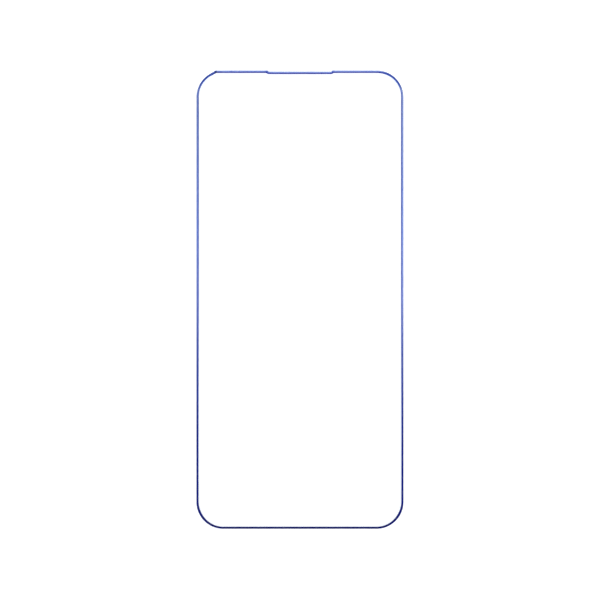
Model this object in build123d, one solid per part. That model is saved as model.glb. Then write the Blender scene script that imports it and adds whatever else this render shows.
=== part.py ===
from build123d import *

import os

# Tempered-glass screen protector for a phone: one thin clear sheet with rounded corners, a front
# edge ground to a soft curve all the way round, and a shallow relief for the earpiece in its top
# edge. It lies face up on its bonding face: X is across the phone, +Y points to the earpiece end,
# and Z is up through the glass. The origin is the middle of the bonding face. Sizes are millimetres.

# Sheet outline
SHEET_LENGTH = 145.0
SHEET_WIDTH = 65.5
CORNER_RADIUS = 8.5

# Section of the glass and of its ground edge
GLASS_THICKNESS = 0.33
EDGE_ROUND_WIDTH = 0.80
EDGE_LAND_HEIGHT = 0.10
BACK_CHAMFER = 0.05

# Earpiece relief, with sharp shoulders at the top edge and a rounded foot
RELIEF_WIDTH = 20.4
RELIEF_DEPTH = 0.35
RELIEF_FOOT_RADIUS = 0.4


def edge_profile():
    """Profile of the ground edge, from the flat front out to the rim and down to the bonding face.

    Its x runs out to the rim and its y runs up from the bonding face.
    """
    inner_top = (-EDGE_ROUND_WIDTH, GLASS_THICKNESS)
    land_top = (0, BACK_CHAMFER + EDGE_LAND_HEIGHT)
    land_foot = (0, BACK_CHAMFER)
    chamfer_foot = (-BACK_CHAMFER, 0)
    rounded_edge = TangentArc(inner_top, land_top, tangent=(1, 0))
    return Curve() + [rounded_edge, Polyline(land_top, land_foot, chamfer_foot)]


def edge_section(*closing_points):
    """Face between the profile of the ground edge and the points that close it."""
    profile = edge_profile()
    closing = Polyline(profile @ 1, *closing_points, profile @ 0)
    return make_face([*profile.edges(), *closing.edges()])


def section_plane(path):
    """Plane across the start of a path that runs anticlockwise round the sheet: x out, y up."""
    up = Vector(0, 0, 1)
    outward = (path % 0).cross(up)
    return Plane(path @ 0, x_dir=outward, z_dir=outward.cross(up))


def plain_sheet():
    """The sheet without its relief: a flat middle inside a rim with the ground edge."""
    rim_path = RectangleRounded(SHEET_WIDTH, SHEET_LENGTH, CORNER_RADIUS).wire()
    middle = extrude(make_face(offset(rim_path, -EDGE_ROUND_WIDTH)), GLASS_THICKNESS)
    inner_foot = (-EDGE_ROUND_WIDTH, 0)
    rim = sweep(section_plane(rim_path) * edge_section(inner_foot), path=rim_path)
    return middle + rim


def relief_cutter():
    """What the relief takes away: its opening, and the glass above and outside its ground edge."""
    half_width = RELIEF_WIDTH / 2
    floor = SHEET_LENGTH / 2 - RELIEF_DEPTH
    clear_of_sheet = SHEET_LENGTH / 2 + RELIEF_FOOT_RADIUS
    path = FilletPolyline(
        (half_width, clear_of_sheet),
        (half_width, floor),
        (-half_width, floor),
        (-half_width, clear_of_sheet),
        radius=RELIEF_FOOT_RADIUS,
    )
    overrun = RELIEF_FOOT_RADIUS / 2
    bottom = -overrun
    top = GLASS_THICKNESS + overrun
    section = edge_section(
        (-BACK_CHAMFER, bottom),
        (overrun, bottom),
        (overrun, top),
        (-EDGE_ROUND_WIDTH, top),
    )
    ground_edge = sweep(section_plane(path) * section, path=path)
    opening = make_face([*path.edges(), Line(path @ 1, path @ 0)])
    return ground_edge + extrude(Pos(0, 0, bottom) * opening, top - bottom)


def protector_glass():
    """The whole sheet, with the ground edge carried through the earpiece relief."""
    return plain_sheet() - relief_cutter()


def main():
    os.makedirs("parts", exist_ok=True)
    export_step(protector_glass(), "parts/protector_glass.step")


main()
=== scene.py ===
import math

import bmesh
import bpy
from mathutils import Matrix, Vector

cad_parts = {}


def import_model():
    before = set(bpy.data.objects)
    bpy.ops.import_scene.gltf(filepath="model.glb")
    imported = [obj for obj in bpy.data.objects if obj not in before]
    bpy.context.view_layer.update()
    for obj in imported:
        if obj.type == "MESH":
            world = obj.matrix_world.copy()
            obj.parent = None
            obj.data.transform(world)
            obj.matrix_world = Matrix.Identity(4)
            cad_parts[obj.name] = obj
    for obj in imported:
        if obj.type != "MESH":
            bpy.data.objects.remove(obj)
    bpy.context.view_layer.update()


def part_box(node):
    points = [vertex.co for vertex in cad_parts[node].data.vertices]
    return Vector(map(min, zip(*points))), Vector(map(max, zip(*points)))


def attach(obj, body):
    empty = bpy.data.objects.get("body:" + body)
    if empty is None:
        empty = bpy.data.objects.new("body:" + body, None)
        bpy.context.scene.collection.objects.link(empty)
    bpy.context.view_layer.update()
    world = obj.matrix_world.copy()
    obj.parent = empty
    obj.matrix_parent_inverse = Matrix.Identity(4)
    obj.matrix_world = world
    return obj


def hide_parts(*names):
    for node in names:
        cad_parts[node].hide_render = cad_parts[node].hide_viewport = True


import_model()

# A phone's screen protector: one clear tempered-glass sheet whose ground edge shows blue. Metres.

MM = 0.001
NODE = "protector_glass"
PIECE = "protector_sheet"

# Sheet: the frame gives its box, and the rest repeats the solid's sizes
sheet_low, sheet_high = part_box(NODE)
HALF_WIDTH = (sheet_high.x - sheet_low.x) / 2
HALF_LENGTH = (sheet_high.y - sheet_low.y) / 2
THICKNESS = sheet_high.z - sheet_low.z
CORNER_RADIUS = 8.5 * MM
EDGE_ROUND_WIDTH = 0.80 * MM
EDGE_LAND_HEIGHT = 0.10 * MM
BACK_CHAMFER = 0.05 * MM
RELIEF_WIDTH = 20.4 * MM
RELIEF_DEPTH = 0.35 * MM
RELIEF_FOOT_RADIUS = 0.4 * MM

# Burr at the top left corner: the top edge runs on to a point, and turns there by this angle in degrees
BURR_TURN = 32

# Mesh fineness, and the turn between two faces past which their edge stays sharp
SIDE_STEPS = 32
END_STEPS = 12
CORNER_STEPS = 48
RELIEF_STEPS = 12
ROUND_STEPS = 12
SHARP_TURN = math.radians(30)

# Place of the ground edge's material in the piece, after that of the flat faces
EDGE_MATERIAL = 1

# Places on the ground edge, kept with the mesh: 0 at the rim to 1 at the flat face, and 0 at the foot to
# 1 at the top corners and all along the top edge
DEPTH = "edge_depth"
ALONG = "edge_along"

# Map for baked textures: a row for each half of the ground edge, and the two flat faces above them
MAP_NAME = "OFBake"
MAP_GAP = 0.02
EDGE_ROW = 0.14
FACE_ROW = 0.64

# Clear glass, and the share of the light that passes it to the floor
GLASS_IOR = 1.5
CLEAR_TINT = (0.99, 0.995, 1.0, 1)
FACE_ROUGHNESS = (0.01, 0.03)
FACE_GRAIN = 40.0
FACE_PASSES = (0.98, 0.985, 1.0, 1)

# Ground edge
EDGE_SHINE = 0.6
EDGE_SHINE_TINT = (0.85, 0.97, 1.0, 1)
EDGE_ROUGHNESS = (0.14, 0.20)
EDGE_GRAIN = 900.0
EDGE_PASSES = (0.6, 0.7, 0.95, 1)

# Grain of the roughness: detail of its noise, and the run of the noise that is spread over the roughness
GRAIN_DETAIL = 3.0
GRAIN_RUN = (0.3, 0.7)

# Blue of the ground edge by place along the sheet, in sRGB levels: by the rim, further in and fading.
# Besides the edge's own blue, these hold painted light and shade: a lighter upper half and a paler rim along
# the top edge as painted highlight, and a darker foot as painted shade.
RIM_BLUE_AND_PAINTED_LIGHT = (
    (0.0, (8, 12, 120)),
    (0.03, (18, 26, 118)),
    (0.2, (16, 26, 122)),
    (0.5, (78, 98, 186)),
    (0.65, (58, 96, 196)),
    (0.99, (47, 74, 158)),
    (1.0, (88, 112, 188)),
)
INNER_BLUE_AND_PAINTED_LIGHT = (
    (0.0, (4, 7, 30)),
    (0.03, (22, 32, 128)),
    (0.5, (52, 70, 166)),
    (0.99, (27, 46, 128)),
    (1.0, (0, 22, 150)),
)
FADED_BLUE_AND_PAINTED_LIGHT = (
    (0.0, (28, 33, 100)),
    (0.5, (96, 116, 218)),
    (0.99, (92, 115, 216)),
    (1.0, (0, 22, 150)),
)

# Depth at which the blue ends, by place along the sheet, and the depths over which it changes
BLUE_END = (
    (0.0, 0.76),
    (0.03, 0.93),
    (0.06, 0.8),
    (0.2, 0.77),
    (0.5, 0.9),
    (0.93, 0.92),
    (0.96, 0.77),
    (0.99, 0.77),
    (1.0, 1.0),
)
RIM_TO_INNER = (0.2, 0.9)
FADE_BEFORE_END = 0.14
CLEAR_AFTER_END = 0.12

# A dark fleck in the ground edge, at the burr
FLECK_PLACE = (-26.55 * MM, 71.8 * MM, 0.25 * MM)
FLECK_CORE = 0.2 * MM
FLECK_SIZE = 0.65 * MM
FLECK_BLUE = (4, 8, 84)

# Photograph's frame: the sheet's length and middle in its 600 pixels
FRAME_PIXELS = 600
SHEET_LENGTH_PIXELS = 458.55
SHEET_MIDDLE_PIXELS = (299.95, 299.58)
LENS_MM = 100.0
SENSOR_MM = 36.0
NEAREST_SEEN = 10 * MM

# Floor, with its lift to white near the sheet and far from it
FLOOR_GAP = 0.02 * MM
FLOOR_SIZE = 6.0
FLOOR_COLOUR = (0.8, 0.8, 0.8, 1)
FLOOR_LIFT_NEAR = 0.43
FLOOR_LIFT_FAR = 1.0
FLOOR_LIFT_REACH = (0.12, 0.8)

# Surround: pale walls that turn to a dim ceiling between two upward slopes of the view
SURROUND_COLOUR = (1, 1, 1, 1)
WALL_LEVEL = 1.0
CEILING_LEVEL = 0.08
CEILING_START = (0.4, 0.62)

# Soft lamps: place, point that it faces, size and level
SOFTBOXES = {
    "top_softbox": ((0, 0.72, 0.6), (0, 0.07, 0), (0.34, 0.38), 7.25),
    "left_softbox": ((-0.53, 0.17, 0.62), (-0.03, 0.17, 0), (0.36, 0.36), 4.4),
    "right_softbox": ((0.53, 0.16, 0.62), (0.03, 0.16, 0), (0.37, 0.36), 6.6),
}


def straight(start, end, steps):
    """Points of a straight run, without its end."""
    start = Vector(start)
    run = Vector(end) - start
    return [start + run * i / steps for i in range(steps)]


def arc(centre, radius, first, last, steps):
    """Points of an arc between two angles in degrees, without its end."""
    points = []
    for i in range(steps):
        angle = math.radians(first + (last - first) * i / steps)
        points.append(Vector(centre) + radius * Vector((math.cos(angle), math.sin(angle))))
    return points


def half_rim(inset, burr_turn):
    """The rim's right half, moved in by inset, from the middle of the bottom edge to that of the relief.

    With a burr_turn over 0, its top edge runs on past the corner and turns there by that angle.
    """
    side = HALF_WIDTH - inset
    end = HALF_LENGTH - inset
    corner_x = HALF_WIDTH - CORNER_RADIUS
    corner_y = HALF_LENGTH - CORNER_RADIUS
    corner_radius = CORNER_RADIUS - inset
    relief_floor = end - RELIEF_DEPTH
    foot_x = RELIEF_WIDTH / 2 - RELIEF_FOOT_RADIUS
    foot_radius = RELIEF_FOOT_RADIUS + inset
    foot_y = relief_floor + foot_radius
    shoulder = math.asin((end - foot_y) / foot_radius)
    shoulder_x = foot_x + foot_radius * math.cos(shoulder)
    burr_x = corner_x + corner_radius * math.tan(math.radians(burr_turn / 2))
    return [
        *straight((0, -end), (corner_x, -end), END_STEPS),
        *arc((corner_x, -corner_y), corner_radius, -90, 0, CORNER_STEPS),
        *straight((side, -corner_y), (side, corner_y), SIDE_STEPS),
        *arc((corner_x, corner_y), corner_radius, 0, 90 - burr_turn, CORNER_STEPS),
        *straight((burr_x, end), (shoulder_x, end), END_STEPS),
        *arc((foot_x, foot_y), foot_radius, math.degrees(shoulder), -90, RELIEF_STEPS),
        *straight((foot_x, relief_floor), (0, relief_floor), END_STEPS),
        Vector((0, relief_floor)),
    ]


def rim(inset):
    """The rim moved in by inset, as points anticlockwise from the middle of the bottom edge."""
    right = half_rim(inset, 0)
    left = half_rim(inset, BURR_TURN)[1:-1]
    return [*right, *(Vector((-point.x, point.y)) for point in reversed(left))]


def edge_section():
    """Section of the ground edge as (inset, height), from the back margin out and up to the flat face."""
    land_top = BACK_CHAMFER + EDGE_LAND_HEIGHT
    drop = THICKNESS - land_top
    radius = (EDGE_ROUND_WIDTH ** 2 + drop ** 2) / (2 * drop)
    steepest = math.asin(EDGE_ROUND_WIDTH / radius)
    section = [(EDGE_ROUND_WIDTH, 0), (BACK_CHAMFER, 0), (0, BACK_CHAMFER), (0, land_top)]
    for i in range(1, ROUND_STEPS + 1):
        tilt = steepest * (1 - i / ROUND_STEPS)
        inset = EDGE_ROUND_WIDTH - radius * math.sin(tilt)
        section.append((inset, THICKNESS - radius * (1 - math.cos(tilt))))
    return section


def place_along(point):
    """Where a point of the rim is along the sheet, as ALONG keeps it."""
    on_top_edge = point.y > 0 and abs(point.x) < HALF_WIDTH - CORNER_RADIUS
    return 1 if on_top_edge else (point.y / HALF_LENGTH + 1) / 2


def edge_rings(bm, outline, section):
    """A ring of vertices round the sheet for each point of the section."""
    depth = bm.verts.layers.float.new(DEPTH)
    along = bm.verts.layers.float.new(ALONG)
    rings = []
    for inset, height in section:
        ring = []
        for point, outer in zip(rim(inset), outline):
            vertex = bm.verts.new((point.x, point.y, height))
            vertex[depth] = inset / EDGE_ROUND_WIDTH
            vertex[along] = place_along(outer)
            ring.append(vertex)
        rings.append(ring)
    return rings


def lengths_along(points):
    """Distance along a run of points to each of them."""
    lengths = [0.0]
    for start, end in zip(points, points[1:]):
        lengths.append(lengths[-1] + (Vector(end) - Vector(start)).length)
    return lengths


def edge_place(row, along, up):
    """Place in the map of a point of the ground edge: its row, and its shares along and up that row."""
    across = MAP_GAP + (1 - 2 * MAP_GAP) * along
    height = MAP_GAP + row * (EDGE_ROW + MAP_GAP) + EDGE_ROW * up
    return (across, height)


def face_place(side, point):
    """Place in the map of a point of the front face, side 1, or of the back face, side -1."""
    scale = FACE_ROW / (2 * HALF_LENGTH)
    middle = MAP_GAP + HALF_WIDTH * scale
    if side < 0:
        middle += MAP_GAP + 2 * HALF_WIDTH * scale
    base = 3 * MAP_GAP + 2 * EDGE_ROW
    return (middle + side * point.x * scale, base + (point.y + HALF_LENGTH) * scale)


def sheet_piece(face_material, edge_material):
    """The closed sheet: two flat faces in one material and the ground edge in the other."""
    bm = bmesh.new()
    baked = bm.loops.layers.uv.new(MAP_NAME)
    outline = rim(0)
    section = edge_section()
    rings = edge_rings(bm, outline, section)
    run = lengths_along([*outline, outline[0]])
    climb = lengths_along(section)
    count = len(outline)
    half = count // 2
    for i in range(count):
        row = i // half
        j = (i + 1) % count
        for k in range(len(section) - 1):
            quad = bm.faces.new((rings[k][i], rings[k][j], rings[k + 1][j], rings[k + 1][i]))
            quad.material_index = EDGE_MATERIAL
            corners = ((i, k), (i + 1, k), (i + 1, k + 1), (i, k + 1))
            for loop, (step, level) in zip(quad.loops, corners):
                loop[baked].uv = edge_place(row, run[step] / run[half] - row, climb[level] / climb[-1])
    for side, ring in ((1, rings[-1]), (-1, rings[0][::-1])):
        for loop in bm.faces.new(ring).loops:
            loop[baked].uv = face_place(side, loop.vert.co)
    mesh = bpy.data.meshes.new(PIECE)
    mesh.materials.append(face_material)
    mesh.materials.append(edge_material)
    bm.to_mesh(mesh)
    bm.free()
    mesh.set_sharp_from_angle(angle=SHARP_TURN)
    for face in mesh.polygons:
        face.use_smooth = face.material_index == EDGE_MATERIAL
    piece = bpy.data.objects.new(PIECE, mesh)
    bpy.context.collection.objects.link(piece)
    return piece


def add(tree, kind, **settings):
    """A new node with its properties set."""
    node = tree.nodes.new(kind)
    for name, value in settings.items():
        setattr(node, name, value)
    return node


def blank_material(name):
    """A material whose node tree has only its output."""
    material = bpy.data.materials.new(name)
    material.use_nodes = True
    material.node_tree.nodes.clear()
    output = add(material.node_tree, "ShaderNodeOutputMaterial")
    return material, material.node_tree, output


def calculate(tree, operation, first, second):
    """A sum, difference or the like of two values."""
    node = add(tree, "ShaderNodeMath", operation=operation)
    tree.links.new(first, node.inputs[0])
    tree.links.new(second, node.inputs[1])
    return node.outputs[0]


def spread(tree, value, low, high, start=0.0, end=1.0, kind="LINEAR"):
    """A value's run from low to high spread over start to end, held at both."""
    node = add(tree, "ShaderNodeMapRange", interpolation_type=kind)
    for name, number in (("From Min", low), ("From Max", high), ("To Min", start), ("To Max", end)):
        node.inputs[name].default_value = number
    tree.links.new(value, node.inputs["Value"])
    return node.outputs["Result"]


def to_linear(level):
    """Linear value of an sRGB level between 0 and 1."""
    if level <= 0.04045:
        return level / 12.92
    return ((level + 0.055) / 1.055) ** 2.4


def srgb(levels):
    """Linear colour, with its alpha, of three sRGB levels up to 255."""
    return (*(to_linear(level / 255) for level in levels), 1)


def ramp_along(tree, along, stops):
    """A ramp along the sheet: each stop is its place and its linear colour."""
    ramp = add(tree, "ShaderNodeValToRGB")
    elements = ramp.color_ramp.elements
    while len(elements) < len(stops):
        elements.new(1.0)
    for element, (place, colour) in zip(elements, stops):
        element.position = place
        element.color = colour
    tree.links.new(along, ramp.inputs[0])
    return ramp.outputs["Color"]


def blues_along(tree, along, blues):
    """A ramp of blues along the sheet."""
    return ramp_along(tree, along, [(place, srgb(levels)) for place, levels in blues])


def levels_along(tree, along, levels):
    """A ramp of plain levels along the sheet."""
    return ramp_along(tree, along, [(place, (level, level, level, 1)) for place, level in levels])


def blend(tree, factor, first, second):
    """A mix of two colours, each a socket or a fixed colour."""
    node = add(tree, "ShaderNodeMix", data_type="RGBA")
    tree.links.new(factor, node.inputs["Factor"])
    for shade, name in ((first, "A"), (second, "B")):
        socket = next(s for s in node.inputs if s.name == name and s.type == "RGBA")
        if isinstance(shade, tuple):
            socket.default_value = shade
        else:
            tree.links.new(shade, socket)
    return next(s for s in node.outputs if s.type == "RGBA")


def grain(tree, place, scale, roughness):
    """Roughness that varies a little over the sheet."""
    noise = add(tree, "ShaderNodeTexNoise")
    noise.inputs["Scale"].default_value = scale
    noise.inputs["Detail"].default_value = GRAIN_DETAIL
    tree.links.new(place, noise.inputs["Vector"])
    return spread(tree, noise.outputs["Fac"], *GRAIN_RUN, *roughness)


def let_lamps_through(tree, surface, passes, output):
    """Joins a surface to its output, clear but for a tint to the rays that carry light to the floor."""
    clear = add(tree, "ShaderNodeBsdfTransparent")
    clear.inputs["Color"].default_value = passes
    path = add(tree, "ShaderNodeLightPath").outputs
    mix = add(tree, "ShaderNodeMixShader")
    lighting = calculate(tree, "MAXIMUM", path["Is Shadow Ray"], path["Is Diffuse Ray"])
    tree.links.new(lighting, mix.inputs[0])
    tree.links.new(surface.outputs[0], mix.inputs[1])
    tree.links.new(clear.outputs[0], mix.inputs[2])
    tree.links.new(mix.outputs[0], output.inputs["Surface"])


def clear_face():
    """Polished clear glass."""
    material, tree, output = blank_material("clear_face")
    place = add(tree, "ShaderNodeTexCoord").outputs["Object"]
    glass = add(tree, "ShaderNodeBsdfPrincipled")
    glass.inputs["Base Color"].default_value = CLEAR_TINT
    glass.inputs["Transmission Weight"].default_value = 1.0
    glass.inputs["IOR"].default_value = GLASS_IOR
    tree.links.new(grain(tree, place, FACE_GRAIN, FACE_ROUGHNESS), glass.inputs["Roughness"])
    let_lamps_through(tree, glass, FACE_PASSES, output)
    return material


def edge_blue_and_painted_light(tree, place, depth, along, past_end):
    """Blue of the ground edge, with painted light and shade along the sheet: it turns from the rim inwards
    and fades before its end, with a dark fleck.
    """
    inwards = spread(tree, depth, *RIM_TO_INNER, kind="SMOOTHSTEP")
    fading = spread(tree, past_end, -FADE_BEFORE_END, 0.0, kind="SMOOTHSTEP")
    # The ramps along the sheet paint light and shade into the edge's blue: painted highlight in the upper
    # half and on the top edge's rim, painted shade towards the foot.
    blue_and_painted_light = blend(tree, inwards, blues_along(tree, along, RIM_BLUE_AND_PAINTED_LIGHT), blues_along(tree, along, INNER_BLUE_AND_PAINTED_LIGHT))
    blue_and_painted_light = blend(tree, fading, blue_and_painted_light, blues_along(tree, along, FADED_BLUE_AND_PAINTED_LIGHT))
    away = add(tree, "ShaderNodeVectorMath", operation="DISTANCE")
    away.inputs[1].default_value = FLECK_PLACE
    tree.links.new(place, away.inputs[0])
    fleck = spread(tree, away.outputs["Value"], FLECK_CORE, FLECK_SIZE, 1, 0, kind="SMOOTHSTEP")
    return blend(tree, fleck, blue_and_painted_light, srgb(FLECK_BLUE))


def ground_edge():
    """The ground edge: its blue darkens towards the foot as painted shade and lightens above as painted
    highlight, and it clears before the flat face.
    """
    material, tree, output = blank_material("ground_edge")
    place = add(tree, "ShaderNodeTexCoord").outputs["Object"]
    depth = add(tree, "ShaderNodeAttribute", attribute_name=DEPTH).outputs["Fac"]
    along = add(tree, "ShaderNodeAttribute", attribute_name=ALONG).outputs["Fac"]
    past_end = calculate(tree, "SUBTRACT", depth, levels_along(tree, along, BLUE_END))
    blue_and_painted_light = edge_blue_and_painted_light(tree, place, depth, along, past_end)
    clear = spread(tree, past_end, 0.0, CLEAR_AFTER_END, kind="SMOOTHSTEP")
    glass = add(tree, "ShaderNodeBsdfPrincipled")
    glass.inputs["IOR"].default_value = GLASS_IOR
    glass.inputs["Specular IOR Level"].default_value = EDGE_SHINE
    glass.inputs["Specular Tint"].default_value = EDGE_SHINE_TINT
    tree.links.new(grain(tree, place, EDGE_GRAIN, EDGE_ROUGHNESS), glass.inputs["Roughness"])
    tree.links.new(blend(tree, clear, blue_and_painted_light, CLEAR_TINT), glass.inputs["Base Color"])
    tree.links.new(clear, glass.inputs["Transmission Weight"])
    let_lamps_through(tree, glass, EDGE_PASSES, output)
    return material


def background_rays(tree):
    """A socket that is 1 for rays that show the background: seen, mirrored or through glass."""
    path = add(tree, "ShaderNodeLightPath").outputs
    mirrored_or_through = calculate(tree, "MAXIMUM", path["Is Glossy Ray"], path["Is Transmission Ray"])
    return calculate(tree, "MAXIMUM", path["Is Camera Ray"], mirrored_or_through)


def floor():
    """A plain pale floor, lifted to white where it shows, that keeps the sheet's shadow."""
    mesh = bpy.data.meshes.new("floor")
    bm = bmesh.new()
    bmesh.ops.create_grid(bm, x_segments=1, y_segments=1, size=FLOOR_SIZE / 2)
    bm.to_mesh(mesh)
    bm.free()
    material, tree, output = blank_material("floor")
    pale = add(tree, "ShaderNodeBsdfDiffuse")
    pale.inputs["Color"].default_value = FLOOR_COLOUR
    place = add(tree, "ShaderNodeTexCoord").outputs["Object"]
    away = add(tree, "ShaderNodeVectorMath", operation="LENGTH")
    tree.links.new(place, away.inputs[0])
    level = spread(tree, away.outputs["Value"], *FLOOR_LIFT_REACH, FLOOR_LIFT_NEAR, FLOOR_LIFT_FAR)
    lift = add(tree, "ShaderNodeEmission")
    tree.links.new(calculate(tree, "MULTIPLY", background_rays(tree), level), lift.inputs["Strength"])
    both = add(tree, "ShaderNodeAddShader")
    tree.links.new(pale.outputs[0], both.inputs[0])
    tree.links.new(lift.outputs[0], both.inputs[1])
    tree.links.new(both.outputs[0], output.inputs["Surface"])
    mesh.materials.append(material)
    ground = bpy.data.objects.new("floor", mesh)
    ground.location.z = -FLOOR_GAP
    bpy.context.collection.objects.link(ground)


def world():
    """A plain surround: pale walls under a dim ceiling."""
    surround = bpy.data.worlds.new("surround")
    surround.use_nodes = True
    tree = surround.node_tree
    background = tree.nodes["Background"]
    background.inputs["Color"].default_value = SURROUND_COLOUR
    direction = add(tree, "ShaderNodeTexCoord").outputs["Generated"]
    split = add(tree, "ShaderNodeSeparateXYZ")
    tree.links.new(direction, split.inputs[0])
    level = spread(tree, split.outputs["Z"], *CEILING_START, WALL_LEVEL, CEILING_LEVEL, kind="SMOOTHSTEP")
    tree.links.new(level, background.inputs["Strength"])
    bpy.context.scene.world = surround


def softbox(name, place, facing, size, level):
    """A soft rectangular lamp at place, turned to face a point, that looks as bright as level."""
    lamp = bpy.data.lights.new(name, "AREA")
    lamp.shape = "RECTANGLE"
    lamp.size, lamp.size_y = size
    lamp.energy = level * math.pi * size[0] * size[1]
    holder = bpy.data.objects.new(name, lamp)
    holder.location = place
    holder.rotation_euler = (Vector(facing) - Vector(place)).to_track_quat("-Z", "Y").to_euler()
    bpy.context.collection.objects.link(holder)


def camera():
    """Straight above the sheet, framed as the photograph is."""
    pixel = 2 * HALF_LENGTH / SHEET_LENGTH_PIXELS
    lens = bpy.data.cameras.new("camera")
    lens.lens = LENS_MM
    lens.sensor_width = SENSOR_MM
    lens.clip_start = NEAREST_SEEN
    eye = bpy.data.objects.new("camera", lens)
    centre = FRAME_PIXELS / 2
    eye.location = (
        (centre - SHEET_MIDDLE_PIXELS[0]) * pixel,
        (SHEET_MIDDLE_PIXELS[1] - centre) * pixel,
        THICKNESS + FRAME_PIXELS * pixel * LENS_MM / SENSOR_MM,
    )
    bpy.context.collection.objects.link(eye)
    bpy.context.scene.camera = eye


sheet = sheet_piece(clear_face(), ground_edge())
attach(sheet, "root")
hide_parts(NODE)
floor()
world()
for name, settings in SOFTBOXES.items():
    softbox(name, *settings)
camera()
bpy.context.scene.view_settings.view_transform = "Standard"
